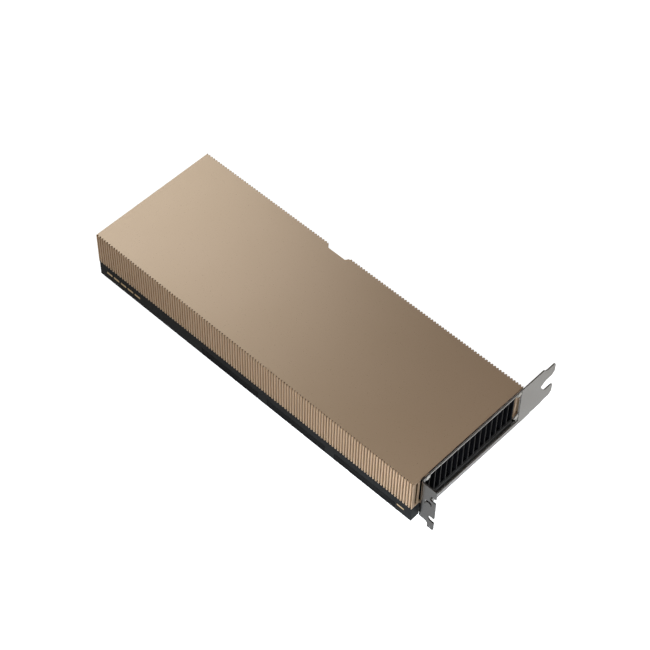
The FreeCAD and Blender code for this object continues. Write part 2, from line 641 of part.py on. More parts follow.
def centred(label, width, depth, z, height):
    """Flat block centred over the processor."""
    return box(label, f"chip_x - ({width}) / 2", f"mid_width - ({depth}) / 2", z, width, depth, height)


def make_processor():
    centred("processor_substrate", "package_width", "package_width", "board_top", "package_height")
    ring = doc.addObject("Part::Cut", "stiffener_ring")
    ring.Base = centred("ring_blank", "package_width", "package_width", "package_top", "ring_height")
    ring.Tool = centred("ring_middle", "package_width - 2 * ring_width", "package_width - 2 * ring_width",
                        "package_top", "ring_height")
    centred("processor_die", "die_length", "die_width", "package_top", "die_height")
    stacks = []
    for side in (-1, 1):
        x = f"chip_x + {side} * (die_length / 2 + stack_gap + stack_length / 2) - stack_length / 2"
        for line in steps("stack_rows"):
            y = (f"mid_width + ({line} - (stack_rows - 1) / 2) * (stack_width + stack_gap)"
                 " - stack_width / 2")
            stacks.append(box(f"stack_{len(stacks) + 1}", x, y, "package_top",
                              "stack_length", "stack_width", "die_height"))
    group("memory_stacks", stacks)
    centred("thermal_paste", "die_length + 2 * (stack_length + stack_gap)",
            "stack_rows * stack_width + (stack_rows - 1) * stack_gap", "die_top", "paste_height")


def make_heatsink():
    centred("vapour_chamber", "chamber_width", "chamber_width", "chamber_bottom", "chamber_height")
    box("heatsink_base", "heatsink_back", "heatsink_inset", "base_bottom",
        "heatsink_length", "heatsink_width", "base_height")
    body = new_body("fin_stack")
    pad(body, "fin_sheet", "z", "fin_bottom", "fin_sheet",
        rectangle("heatsink_back", "heatsink_front",
                  "heatsink_inset", "heatsink_inset + heatsink_width"))
    fin = pad(body, "fin", "z", "fin_bottom", "fin_top - fin_bottom",
              rectangle("heatsink_back", "heatsink_front",
                        "heatsink_inset", "heatsink_inset + fin_thickness"))
    repeat(body, fin, "Y_Axis", "fin_pitch", "fin_count")


# ---- fasteners --------------------------------------------------------------------------------------

def make_screws():
    group("case_screws", [
        fuse(f"case_screw_{number}", [
            cone(f"case_head_{number}", x, y, "case_head_recess",
                 "case_head_radius", "case_screw_radius", "case_head_height"),
            cylinder(f"case_shank_{number}", x, y, "case_head_recess",
                     "case_screw_radius", "case_screw_length")])
        for number, (x, y) in enumerate(CASE_SCREWS, 1)])
    group("bracket_screws", [
        fuse(f"ear_screw_{number}", [
            cylinder(f"ear_head_{number}", "-rim_depth", y, z,
                     "ear_head_radius", "ear_head_height", "x"),
            cylinder(f"ear_shank_{number}", "-rim_depth - ear_screw_length", y, z,
                     "ear_screw_radius", "ear_screw_length", "x")])
        for number, (y, z) in enumerate(EARS, 1)])


# ---- power stages and chips -------------------------------------------------------------------------

def make_power():
    rows = [f"(mid_width + ({step} - (choke_count - 1) / 2) * choke_pitch)" for step in steps("choke_count")]
    for number, side in ((1, "+"), (2, "-")):
        choke_x = f"chip_x {side} choke_offset - choke_size / 2"
        stage_x = f"chip_x {side} stage_offset - stage_length / 2"
        group(f"choke_row_{number}", [
            box(f"choke_{number}_{step}", choke_x, f"{y} - choke_size / 2", "board_top",
                "choke_size", "choke_size", "choke_height") for step, y in enumerate(rows, 1)])
        group(f"power_stage_row_{number}", [
            box(f"stage_{number}_{step}", stage_x, f"{y} - stage_width / 2", "board_top",
                "stage_length", "stage_width", "stage_height") for step, y in enumerate(rows, 1)])
        box(f"thermal_pad_{number}", choke_x, f"{rows[0]} - choke_size / 2", "board_top + choke_height",
            "choke_size", "(choke_count - 1) * choke_pitch + choke_size",
            "base_bottom - board_top - choke_height")
    cans = []
    for line in steps("can_rows"):
        x = f"chip_x - can_offset - {line} * can_row_pitch - can_length / 2"
        for step in steps("can_count"):
            y = f"mid_width + ({step} - (can_count - 1) / 2) * can_pitch - can_width / 2"
            cans.append(box(f"can_{len(cans) + 1}", x, y, "board_top",
                            "can_length", "can_width", "can_height"))
    group("capacitors", cans)
    chips = []
    logic_x = "chip_x - can_offset - (can_rows - 1) * can_row_pitch - can_length / 2 - logic_gap - logic_size"
    for step in steps("logic_count"):
        y = f"mid_width + logic_shift + ({step} - (logic_count - 1) / 2) * logic_pitch - logic_size / 2"
        chips.append(box(f"logic_{step}", logic_x, y, "board_top",
                         "logic_size", "logic_size", "logic_height"))
    group("controller_chips", chips)


def make_inlet():
    body = new_body("power_socket")
    pad(body, "housing", "z", "board_top", "socket_height",
        rectangle("cover_back", "cover_back + socket_length", "socket_near", "socket_near + socket_width"))
    pocket(body, "chambers", "x", "cover_back", "chamber_depth",
           *[square(y, z, "chamber_size") for y, z, line in PIN_SPOTS])
    pocket(body, "pin_holes", "x", "cover_back", "socket_length",
           *[square(y, z, "pin_size") for y, z, line in PIN_SPOTS])
    pins = []
    for number, (y, z, line) in enumerate(PIN_SPOTS, 1):
        reach = f"(socket_length - pin_setback + pin_tail + {line} * pin_row_step)"
        side, under = f"{y} - pin_size / 2", f"{z} - pin_size / 2"
        pins.append(fuse(f"pin_{number}", [
            box(f"pin_blade_{number}", "cover_back + pin_setback", side, under,
                reach, "pin_size", "pin_size"),
            box(f"pin_leg_{number}", f"cover_back + pin_setback + {reach} - pin_size", side, "board_top",
                "pin_size", "pin_size", f"{under} + pin_size - board_top")]))
    group("power_pins", pins)


make_cover()
make_frame()
make_backplate()
make_caps()
make_board()
make_contacts()
make_bracket()
make_grille()
make_processor()
make_heatsink()
make_screws()
make_power()
make_inlet()
doc.recompute()

NODES = [
    "top_cover", "lower_frame", "backplate", "bridge_cover_1", "bridge_cover_2", "bridge_cover_3",
    "circuit_board", "edge_contacts", "io_bracket", "bracket_screws", "exhaust_grille",
    "processor_substrate", "stiffener_ring", "processor_die", "memory_stacks", "thermal_paste",
    "vapour_chamber", "heatsink_base", "fin_stack", "case_screws",
    "choke_row_1", "choke_row_2", "power_stage_row_1", "power_stage_row_2", "thermal_pad_1",
    "thermal_pad_2", "capacitors", "controller_chips", "power_socket", "power_pins",
]

for item in doc.Objects:
    if "Invalid" in item.State or "Error" in item.State:
        raise RuntimeError(f"{item.Name} did not build")
for name in NODES:
    shape = doc.getObject(name).Shape
    if shape.isNull() or not shape.isValid():
        raise RuntimeError(f"{name} has no valid shape")
for name in NODES:
    doc.getObject(name).Shape.exportStep(f"parts/{name}.step")
    print(f"{name}: {len(doc.getObject(name).Shape.Solids)} solids")
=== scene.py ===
import math
import bmesh
import bpy
from mathutils import Matrix, Vector


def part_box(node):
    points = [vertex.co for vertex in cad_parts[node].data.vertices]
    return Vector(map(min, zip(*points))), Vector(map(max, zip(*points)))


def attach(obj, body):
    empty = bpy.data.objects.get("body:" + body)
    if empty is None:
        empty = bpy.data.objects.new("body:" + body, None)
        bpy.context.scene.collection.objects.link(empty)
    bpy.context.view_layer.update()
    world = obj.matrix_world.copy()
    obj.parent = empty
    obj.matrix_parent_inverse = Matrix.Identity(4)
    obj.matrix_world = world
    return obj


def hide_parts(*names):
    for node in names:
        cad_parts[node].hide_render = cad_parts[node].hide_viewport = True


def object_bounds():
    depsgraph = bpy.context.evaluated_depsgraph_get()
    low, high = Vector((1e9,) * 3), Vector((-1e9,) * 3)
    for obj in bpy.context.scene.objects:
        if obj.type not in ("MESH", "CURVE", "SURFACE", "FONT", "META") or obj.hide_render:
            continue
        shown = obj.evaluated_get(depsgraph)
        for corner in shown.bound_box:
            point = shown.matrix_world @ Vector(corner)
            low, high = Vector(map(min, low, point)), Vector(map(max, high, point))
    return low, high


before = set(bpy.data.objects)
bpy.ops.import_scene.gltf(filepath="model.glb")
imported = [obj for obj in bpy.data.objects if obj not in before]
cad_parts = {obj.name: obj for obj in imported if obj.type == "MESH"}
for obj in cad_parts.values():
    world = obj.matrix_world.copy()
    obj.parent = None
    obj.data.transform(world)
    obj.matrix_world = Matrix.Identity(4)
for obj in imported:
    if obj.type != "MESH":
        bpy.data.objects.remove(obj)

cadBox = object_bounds()
cadLow, cadHigh = cadBox
millimetre = 0.001


# camera: a long lens from above the bracket end
cameraSetup = {
    "azimuth": 42.60, "elevation": 52.20, "roll": 1.37,      # degrees round and above the card
    "distance": 1.1806, "lens": 106.08, "sensor": 36.0,      # metres, millimetres
    "aim": (-0.13772, 0.055, 0.015), "right": 0.01076, "up": -0.00145, "clip": (0.05, 20),
}


def makeCamera(setup):
    turn, lift, roll = (math.radians(setup[name]) for name in ("azimuth", "elevation", "roll"))
    back = Vector((math.sin(turn) * math.cos(lift), -math.cos(turn) * math.cos(lift), math.sin(lift)))
    level = Vector((math.cos(turn), math.sin(turn), 0))
    upright = back.cross(level)
    right = level * math.cos(roll) + upright * math.sin(roll)
    up = upright * math.cos(roll) - level * math.sin(roll)
    target = Vector(setup["aim"]) + right * setup["right"] + up * setup["up"]
    camera = bpy.data.objects.new("camera", bpy.data.cameras.new("camera"))
    camera.data.lens = setup["lens"]
    camera.data.sensor_width = setup["sensor"]
    camera.data.clip_start, camera.data.clip_end = setup["clip"]
    camera.matrix_world = Matrix((right, up, back)).transposed().to_4x4()
    camera.location = target + back * setup["distance"]
    bpy.context.scene.collection.objects.link(camera)
    bpy.context.scene.camera = camera


makeCamera(cameraSetup)
print("camera placed")


# small tools
srgbCurve = {"toe": 0.04045, "slope": 12.92, "offset": 0.055, "power": 2.4}      # as its standard has it
white = (1, 1, 1, 1)


def hexColour(text):
    # sRGB hex to linear, with a full alpha
    parts = [int(text[step:step + 2], 16) / 255 for step in (1, 3, 5)]
    linear = [
        part / srgbCurve["slope"] if part <= srgbCurve["toe"]
        else ((part + srgbCurve["offset"]) / (1 + srgbCurve["offset"])) ** srgbCurve["power"]
        for part in parts]
    return (*linear, 1.0)


def perMm(size):
    # texture scale, in repeats per metre, for a feature of this many millimetres
    return 1 / (size * millimetre)


def emptyTree(owner):
    # the cleared node tree of a material or world
    owner.use_nodes = True
    owner.node_tree.nodes.clear()
    return owner.node_tree


def addNode(tree, kind, inputs, **settings):
    # a value that is a socket is linked, any other is set
    node = tree.nodes.new(kind)
    for name, value in settings.items():
        setattr(node, name, value)
    for name, value in inputs.items():
        if isinstance(value, bpy.types.NodeSocket):
            tree.links.new(value, node.inputs[name])
        else:
            node.inputs[name].default_value = value
    return node


def maths(tree, operation, *values):
    return addNode(tree, "ShaderNodeMath", dict(enumerate(values)), operation=operation).outputs["Value"]


def mapRange(tree, value, fromRange, toRange):
    return addNode(tree, "ShaderNodeMapRange", {
        "Value": value, "From Min": fromRange[0], "From Max": fromRange[1],
        "To Min": toRange[0], "To Max": toRange[1]}).outputs["Result"]


def mixColours(tree, factor, first, second):
    # the colour sockets go by number, as one name stands for several kinds
    mix = addNode(tree, "ShaderNodeMix", {"Factor": factor, 6: first, 7: second}, data_type="RGBA")
    return mix.outputs[2]


def meshObject(mesh, name, looks):
    data = bpy.data.meshes.new(name)
    mesh.to_mesh(data)
    mesh.free()
    for look in looks:
        data.materials.append(look)
    made = bpy.data.objects.new(name, data)
    bpy.context.scene.collection.objects.link(made)
    return made


def addSheet(mesh, place):
    # a face one unit long and wide, sized and placed by the matrix
    return bmesh.ops.create_grid(mesh, x_segments=1, y_segments=1, size=0.5, matrix=place)["verts"]


def thicken(mesh, faces, offset):
    # flat faces become a closed solid
    lifted = bmesh.ops.extrude_face_region(mesh, geom=faces)
    moved = [item for item in lifted["geom"] if isinstance(item, bmesh.types.BMVert)]
    bmesh.ops.translate(mesh, vec=offset, verts=moved)


# materials
textureSettings = {
    "drift": {"Detail": 3.0}, "grain": {"Detail": 4.0, "Roughness": 0.6},
    "shadeRange": (0.7, 1.3), "glossRange": (0.3, 0.7),      # the noise values that span the two looks
    "bumpShare": 0.25,                                       # of the grain's size
}


def noise(tree, place, sizeMm, kind):
    return addNode(tree, "ShaderNodeTexNoise", {
        "Vector": place, "Scale": perMm(sizeMm), **textureSettings[kind]}).outputs["Fac"]


def surface(name, look):
    # a real surface: two shades that drift into each other, a grain that catches light, uneven gloss
    material = bpy.data.materials.new(name)
    tree = emptyTree(material)
    place = addNode(tree, "ShaderNodeTexCoord", {}).outputs["Object"]
    stretched = addNode(tree, "ShaderNodeMapping", {
        "Vector": place, "Scale": look.get("stretch", (1, 1, 1))})
    drift = noise(tree, place, look["driftMm"], "drift")
    grain = noise(tree, stretched.outputs["Vector"], look["grainMm"], "grain")
    spread = mapRange(tree, maths(tree, "ADD", drift, grain), textureSettings["shadeRange"], (0.0, 1.0))
    shade = mixColours(tree, spread, hexColour(look["dark"]), hexColour(look["light"]))
    if "paintedShadeBand" in look:
        # painted shade: from one place to another along an axis, a third colour gives way to these two
        paintedShadeBand = look["paintedShadeBand"]
        axes = addNode(tree, "ShaderNodeSeparateXYZ", {"Vector": place})
        ends = [paintedShadeBand[end] * millimetre for end in ("fromMm", "toMm")]
        reach = mapRange(tree, axes.outputs[paintedShadeBand["axis"]], ends, (1.0, 0.0))
        shade = mixColours(tree, reach, shade, hexColour(paintedShadeBand["colour"]))
    gloss = mapRange(tree, grain, textureSettings["glossRange"], look["roughness"])
    bump = addNode(tree, "ShaderNodeBump", {
        "Height": grain, "Strength": look["bump"],
        "Distance": look["grainMm"] * millimetre * textureSettings["bumpShare"]})
    shader = addNode(tree, "ShaderNodeBsdfPrincipled", {
        "Base Color": shade, "Roughness": gloss, "Normal": bump.outputs["Normal"],
        **look.get("shader", {})})
    addNode(tree, "ShaderNodeOutputMaterial", {"Surface": shader.outputs["BSDF"]})
    return material


materialLooks = {
    # bead-blasted aluminium, anodised a pale bronze: satin, with a fine dry sparkle and no streaks
    "anodisedBronze": {
        "dark": "#A68B70", "light": "#AA8F76", "driftMm": 90, "grainMm": 0.7, "roughness": (0.27, 0.35),
        "bump": 0.14, "shader": {"Metallic": 0.7, "Coat Weight": 0.7, "Coat Roughness": 0.35}},
    # painted shade: the same finish darkened down in the flutes and the upright end slots, where shade
    # falls, and drier
    "grooveShadeBronze": {
        "dark": "#46382A", "light": "#504131", "driftMm": 20, "grainMm": 0.4, "roughness": (0.45, 0.55),
        "bump": 0.1, "shader": {"Metallic": 0.7}},
    # the milled crests and flanks of the flutes: a little browner and less glazed than the blasted top
    "crestBronze": {
        "dark": "#A5886B", "light": "#AA8D71", "driftMm": 60, "grainMm": 0.5, "roughness": (0.30, 0.38),
        "bump": 0.12, "shader": {"Metallic": 0.72, "Coat Weight": 0.5, "Coat Roughness": 0.35}},
    # glass-filled polycarbonate from a spark-eroded tool: black, faintly grainy, a broad soft sheen
    "blackPolycarbonate": {
        "dark": "#0F1011", "light": "#141516", "driftMm": 30, "grainMm": 0.3, "roughness": (0.36, 0.46),
        "bump": 0.06, "shader": {"IOR": 1.45, "Specular IOR Level": 0.04}},
    # silicone rubber caps: blacker and duller than the frame round them
    "siliconeRubber": {
        "dark": "#0B0B0C", "light": "#101011", "driftMm": 12, "grainMm": 0.5, "roughness": (0.5, 0.6),
        "bump": 0.08, "shader": {"IOR": 1.43, "Specular IOR Level": 0.04}},
    # powder coat on pressed aluminium: black with a slight orange peel
    "powderCoat": {
        "dark": "#17181A", "light": "#202123", "driftMm": 25, "grainMm": 0.9, "roughness": (0.45, 0.55),
        "bump": 0.2, "shader": {"IOR": 1.5}},
    # nickel-plated steel sheet, brushed along the bracket: grey with a warm cast and fine lines
    "nickelledSteel": {
        "dark": "#919090", "light": "#979696", "driftMm": 60, "grainMm": 0.3, "roughness": (0.20, 0.23),
        "bump": 0.01, "stretch": (1, 0.05, 1), "shader": {"Metallic": 1.0},
        # painted shade: the bracket is darker near the tab, up to 6 mm along Y, giving way to its grey
        # by 14 mm
        "paintedShadeBand": {"axis": "Y", "fromMm": 6, "toMm": 14, "colour": "#565555"}},
    # bright nickel on the small bracket screws
    "brightNickel": {
        "dark": "#B4B3AF", "light": "#C6C5C1", "driftMm": 2, "grainMm": 0.15, "roughness": (0.14, 0.22),
        "bump": 0.02, "shader": {"Metallic": 1.0}},
    # black oxide on steel: dark, slightly oily
    "blackOxide": {
        "dark": "#232323", "light": "#303030", "driftMm": 2, "grainMm": 0.2, "roughness": (0.3, 0.4),
        "bump": 0.1, "shader": {"Metallic": 1.0}},
    # black anodised aluminium vanes: deep black with grey light on the edges
    "blackAnodised": {
        "dark": "#040405", "light": "#070708", "driftMm": 10, "grainMm": 0.3, "roughness": (0.26, 0.34),
        "bump": 0.04, "shader": {"Specular IOR Level": 0.06}},
    # solder mask over laminate: dark green-black, glossy, showing the weave a little
    "solderMask": {
        "dark": "#0B130F", "light": "#111C16", "driftMm": 8, "grainMm": 1.2, "roughness": (0.25, 0.35),
        "bump": 0.08, "shader": {"IOR": 1.55}},
    # hard gold plate on copper: bright and warm
    "hardGold": {
        "dark": "#D9A94E", "light": "#EBC170", "driftMm": 3, "grainMm": 0.15, "roughness": (0.18, 0.28),
        "bump": 0.05, "shader": {"Metallic": 1.0}},
    # skived aluminium fins: bright, with drag lines along the cut
    "skivedAluminium": {
        "dark": "#A9ABAC", "light": "#C2C4C5", "driftMm": 15, "grainMm": 0.5, "roughness": (0.28, 0.4),
        "bump": 0.08, "stretch": (0.05, 1, 1), "shader": {"Metallic": 1.0}},
    # nickel-free copper sheet of the vapour chamber: salmon pink, softly brushed
    "barCopper": {
        "dark": "#B0704F", "light": "#C78663", "driftMm": 12, "grainMm": 0.5, "roughness": (0.28, 0.4),
        "bump": 0.06, "stretch": (0.1, 1, 1), "shader": {"Metallic": 1.0}},
    # polished silicon: blue-grey mirror
    "polishedSilicon": {
        "dark": "#3A3E46", "light": "#464B54", "driftMm": 10, "grainMm": 0.5, "roughness": (0.08, 0.14),
        "bump": 0.01, "shader": {"Metallic": 1.0}},
    # epoxy moulding compound: matt black-grey with filler specks
    "mouldingCompound": {
        "dark": "#1E1F21", "light": "#2A2B2D", "driftMm": 3, "grainMm": 0.15, "roughness": (0.5, 0.65),
        "bump": 0.15, "shader": {"IOR": 1.55}},
    # ceramic-filled thermal paste and pads: dull blue-grey, waxy
    "thermalFiller": {
        "dark": "#7C8894", "light": "#93A0AC", "driftMm": 4, "grainMm": 0.4, "roughness": (0.6, 0.75),
        "bump": 0.2, "shader": {"IOR": 1.45}},
    # green laminate of the processor's carrier
    "carrierLaminate": {
        "dark": "#1F4A33", "light": "#2A5C41", "driftMm": 5, "grainMm": 0.6, "roughness": (0.3, 0.4),
        "bump": 0.06, "shader": {"IOR": 1.55}},
    # glass-filled nylon of the power socket: black, slightly fibrous
    "filledNylon": {
        "dark": "#151516", "light": "#1E1E20", "driftMm": 6, "grainMm": 0.4, "roughness": (0.45, 0.6),
        "bump": 0.15, "shader": {"IOR": 1.53}},
    # matt tin plate on brass pins: pale grey
    "mattTin": {
        "dark": "#A8A7A2", "light": "#BDBCB6", "driftMm": 1.5, "grainMm": 0.2, "roughness": (0.35, 0.5),
        "bump": 0.08, "shader": {"Metallic": 1.0}},
    # metallic screen-printing ink: the cover's gold, flatter and finer grained
    "goldInk": {
        "dark": "#A38B68", "light": "#B79D78", "driftMm": 3, "grainMm": 0.12, "roughness": (0.4, 0.5),
        "bump": 0.05, "shader": {"Metallic": 0.6}},
    # nickel-plated steel ring round the processor
    "platedRing": {
        "dark": "#A3A29D", "light": "#B8B7B1", "driftMm": 8, "grainMm": 0.3, "roughness": (0.25, 0.35),
        "bump": 0.05, "shader": {"Metallic": 1.0}},
}
materials = {name: surface(name, look) for name, look in materialLooks.items()}
print("materials made:", len(materials))


# which finish each piece has, and for the ones that show their edges how far those are broken
nodeFinish = {
    "top_cover": ("anodisedBronze", 0.12), "lower_frame": ("blackPolycarbonate", 0.20),
    "backplate": ("powderCoat", 0.15),
    "bridge_cover_1": ("siliconeRubber", 0.20), "bridge_cover_2": ("siliconeRubber", 0.20),
    "bridge_cover_3": ("siliconeRubber", 0.20),
    "circuit_board": ("solderMask", 0.06), "edge_contacts": ("hardGold", 0),
    "io_bracket": ("nickelledSteel", 0.08), "exhaust_grille": ("blackAnodised", 0.40),
    "processor_substrate": ("carrierLaminate", 0), "stiffener_ring": ("platedRing", 0),
    "processor_die": ("polishedSilicon", 0), "memory_stacks": ("polishedSilicon", 0),
    "thermal_paste": ("thermalFiller", 0), "vapour_chamber": ("barCopper", 0),
    "heatsink_base": ("skivedAluminium", 0), "fin_stack": ("skivedAluminium", 0),
    "choke_row_1": ("mouldingCompound", 0), "choke_row_2": ("mouldingCompound", 0),
    "power_stage_row_1": ("mouldingCompound", 0), "power_stage_row_2": ("mouldingCompound", 0),
    "thermal_pad_1": ("thermalFiller", 0), "thermal_pad_2": ("thermalFiller", 0),
    "capacitors": ("mouldingCompound", 0), "controller_chips": ("mouldingCompound", 0),
    "power_socket": ("filledNylon", 0.15), "power_pins": ("mattTin", 0),
}
edgeSettings = {
    "flatAngle": 0.5, "bevelAngle": 40.0, "mergeMm": 0.001,      # degrees, degrees, millimetres
    "segments": 2, "normalWeight": 100,
}


def standFor(piece, node):
    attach(piece, "root")
    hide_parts(node)


def mergedCopy(node):
    # the node's own solid as one closed mesh, its flat faces whole again
    mesh = bmesh.new()
    mesh.from_mesh(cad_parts[node].data)
    bmesh.ops.remove_doubles(mesh, verts=mesh.verts, dist=edgeSettings["mergeMm"] * millimetre)
    bmesh.ops.dissolve_limit(
        mesh, angle_limit=math.radians(edgeSettings["flatAngle"]), verts=mesh.verts, edges=mesh.edges)
    return mesh


def breakEdges(mesh, width):
    # a small round on every sharp edge, so that it catches the light
    limit = math.radians(edgeSettings["bevelAngle"])
    sharp = [edge for edge in mesh.edges if edge.is_manifold and edge.calc_face_angle() > limit]
    bmesh.ops.bevel(
        mesh, geom=sharp, offset=width * millimetre, offset_type="OFFSET", affect="EDGES",
        segments=edgeSettings["segments"], profile=0.5, material=-1, clamp_overlap=False)
    for face in mesh.faces:
        face.smooth = True


def weightNormals(piece):
    # wide faces keep their own direction, and the rounds between them shade smoothly
    modifier = piece.modifiers.new("weightedNormals", "WEIGHTED_NORMAL")
    modifier.weight = edgeSettings["normalWeight"]
    modifier.keep_sharp = True


# the flutes of the cover's long sides: their floors carry a painted shade and are rougher than the
# crests, and so are the walls of the upright slots in both end frames
grooveShade = {
    "finishes": ("grooveShadeBronze", "crestBronze"), "shadeFinish": 1, "crestFinish": 2,
    "floorFromMm": 0.55, "floorToMm": 1.0,                 # in from the long side
    "slotFromMm": 2.4, "slotToMm": 4.4,                    # in from the long side
    "slotDeepMm": 4.0,                                     # in from the end
    "uprightBelow": 0.5, "sidewaysAbove": 0.9,             # parts of a face's normal, up and across
}


# painted shade: flute floors and end-slot walls take the dark finish, the crests and flanks the crest
# finish
def paintGrooveShade(mesh, setup):
    low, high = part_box("top_cover")
    for face in mesh.faces:
        centre = face.calc_center_median()
        depth = min(centre.y - low.y, high.y - centre.y) / millimetre
        fromEnd = min(centre.x - low.x, high.x - centre.x) / millimetre
        upright = abs(face.normal.z) < setup["uprightBelow"]
        sideways = abs(face.normal.y) > setup["sidewaysAbove"]
        inSlot = setup["slotFromMm"] < depth < setup["slotToMm"] and fromEnd < setup["slotDeepMm"]
        if upright and depth < setup["floorToMm"]:
            isFloor = depth > setup["floorFromMm"]
            face.material_index = setup["shadeFinish"] if isFloor else setup["crestFinish"]
        elif sideways and inSlot:
            face.material_index = setup["shadeFinish"]


# painted shade: a thin black web that closes the grille's bottom between the vanes, over the cover's
# sill where shade falls
grilleShadeSheet = {
    "height": 14.22, "thickness": 0.12, "front": 0.3, "depth": 9.4, "side": 0.3,      # millimetres
}


def addShadeSheet(mesh, setup):
    low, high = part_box("exhaust_grille")
    width = (high.y - low.y) / millimetre - 2 * setup["side"]
    size = Vector((setup["depth"], width, 1)) * millimetre
    middle = Vector((
        high.x - (setup["front"] + setup["depth"] / 2) * millimetre, (low.y + high.y) / 2,
        setup["height"] * millimetre))
    corners = addSheet(mesh, Matrix.Translation(middle) @ Matrix.Diagonal((*size, 1)))
    sheet = list({face for vertex in corners for face in vertex.link_faces})
    thicken(mesh, sheet, (0, 0, setup["thickness"] * millimetre))


def brokenEdges(node, finish, width):
    mesh = mergedCopy(node)
    breakEdges(mesh, width)
    finishes = [finish]
    # the cover's flute floors and end slots get their painted shade here
    if node == "top_cover":
        paintGrooveShade(mesh, grooveShade)
        finishes.extend(grooveShade["finishes"])
    # the grille gets its black sheet of painted shade between the vanes here
    if node == "exhaust_grille":
        addShadeSheet(mesh, grilleShadeSheet)
    piece = meshObject(mesh, node + "_finished", [materials[name] for name in finishes])
    weightNormals(piece)
    standFor(piece, node)
    return piece


for node, (finish, width) in nodeFinish.items():
    if width:
        piece = brokenEdges(node, finish, width)
        print("finished", node, len(piece.data.polygons), "faces")
    else:
        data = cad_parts[node].data
        data.materials.clear()
        data.materials.append(materials[finish])
print("pieces finished")


# screws with a six-lobed recess, one in each corner of the node they stand for, in millimetres
screwBasics = {
    "shankRadius": 1.0, "segments": 48, "shankSegments": 24, "rimSegments": 2,
    "lobes": 6, "lobeDepth": 0.16, "recessDraft": 0.02,
    "facingUp": 0.9, "sloping": (0.01, 0.99),      # parts of a face's normal along the screw
}
bracketScrew = {
    **screwBasics, "headRadius": 1.7, "neckRadius": 1.7, "headHeight": 0.35, "rimRound": 0.12,
    "recessRadius": 0.85, "recessDepth": 0.24,
}
caseScrew = {
    **screwBasics, "headRadius": 1.9, "neckRadius": 1.0, "headHeight": 0.9, "rimRound": 0.08,
    "recessRadius": 0.9, "recessDepth": 0.6,
}


def addCone(mesh, segments, lowRadius, highRadius, top, height):
    bmesh.ops.create_cone(
        mesh, cap_ends=True, segments=segments, radius1=lowRadius, radius2=highRadius, depth=height,
        matrix=Matrix.Translation((0, 0, top - height / 2)))


def topFace(mesh):
    return max(mesh.faces, key=lambda face: face.calc_center_median().z)


def sinkRecess(mesh, setup):
    # a round inset in the head's top, waved into lobes and pushed in
    edge = setup["headRadius"] - setup["rimRound"]
    bmesh.ops.inset_individual(
        mesh, faces=[topFace(mesh)], thickness=edge - setup["recessRadius"], depth=0)
    upward = [face for face in mesh.faces if face.normal.z > setup["facingUp"]]
    recess = min(upward, key=lambda face: face.calc_perimeter())
    for vertex in recess.verts:
        angle = math.atan2(vertex.co.y, vertex.co.x)
        lobe = 1 + setup["lobeDepth"] * math.cos(setup["lobes"] * angle)
        vertex.co.x, vertex.co.y = vertex.co.x * lobe, vertex.co.y * lobe
    bmesh.ops.inset_individual(
        mesh, faces=[recess], thickness=setup["recessDraft"], depth=-setup["recessDepth"])


def oneScrew(setup, shankLength):
    # head up along +Z with its top face at zero, the shank below it
    mesh = bmesh.new()
    addCone(mesh, setup["segments"], setup["neckRadius"], setup["headRadius"], 0, setup["headHeight"])
    rounds = bmesh.ops.bevel(
        mesh, geom=list(topFace(mesh).edges), offset=setup["rimRound"], offset_type="OFFSET",
        affect="EDGES", segments=setup["rimSegments"], profile=0.5, material=-1)
    for face in rounds["faces"]:
        face.smooth = True
    sinkRecess(mesh, setup)
    addCone(
        mesh, setup["shankSegments"], setup["shankRadius"], setup["shankRadius"], -setup["headHeight"],
        shankLength)
    flat, upright = setup["sloping"]
    for face in mesh.faces:
        isWall = len(face.verts) == 4
        face.smooth = face.smooth or flat < abs(face.normal.z) < upright or isWall
    bmesh.ops.recalc_face_normals(mesh, faces=mesh.faces)
    return mesh


def makeScrews(node, setup, axis, finish):
    low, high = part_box(node)
    size = high - low
    turn = Vector((0, 0, 1)).rotation_difference(axis).to_matrix().to_4x4()
    along = max(range(3), key=lambda step: abs(axis[step]))
    across = [step for step in range(3) if step != along]
    top = (high if axis[along] > 0 else low)[along]
    radius = setup["headRadius"] * millimetre
    single = oneScrew(setup, size[along] / millimetre - setup["headHeight"])
    screwData = bpy.data.meshes.new(node + "_one")
    single.to_mesh(screwData)
    single.free()
    mesh = bmesh.new()
    for first in (low[across[0]] + radius, high[across[0]] - radius):
        for second in (low[across[1]] + radius, high[across[1]] - radius):
            place = Vector((0, 0, 0))
            place[along], place[across[0]], place[across[1]] = top, first, second
            start = len(mesh.verts)
            mesh.from_mesh(screwData)
            mesh.verts.ensure_lookup_table()
            bmesh.ops.transform(
                mesh, matrix=Matrix.Translation(place) @ turn @ Matrix.Scale(millimetre, 4),
                verts=mesh.verts[start:])
    bpy.data.meshes.remove(screwData)
    standFor(meshObject(mesh, node + "_finished", [materials[finish]]), node)


makeScrews("bracket_screws", bracketScrew, Vector((1, 0, 0)), "brightNickel")
makeScrews("case_screws", caseScrew, Vector((0, 0, -1)), "blackOxide")
print("screws made")


# plain printed bars on the frame's long side: one row at the tail, one short dash at the bracket end
printSetup = {
    "corner": 0.35, "cornerSegments": 3, "film": 0.03, "centreHeight": 6.2,      # millimetres
    "tailRow": {"fromTail": 6.4, "count": 5, "length": 4.9, "height": 1.7, "pitch": 6.4},
    "frontDash": {"fromTail": 254.8, "count": 1, "length": 5.6, "height": 1.1, "pitch": 0},
}


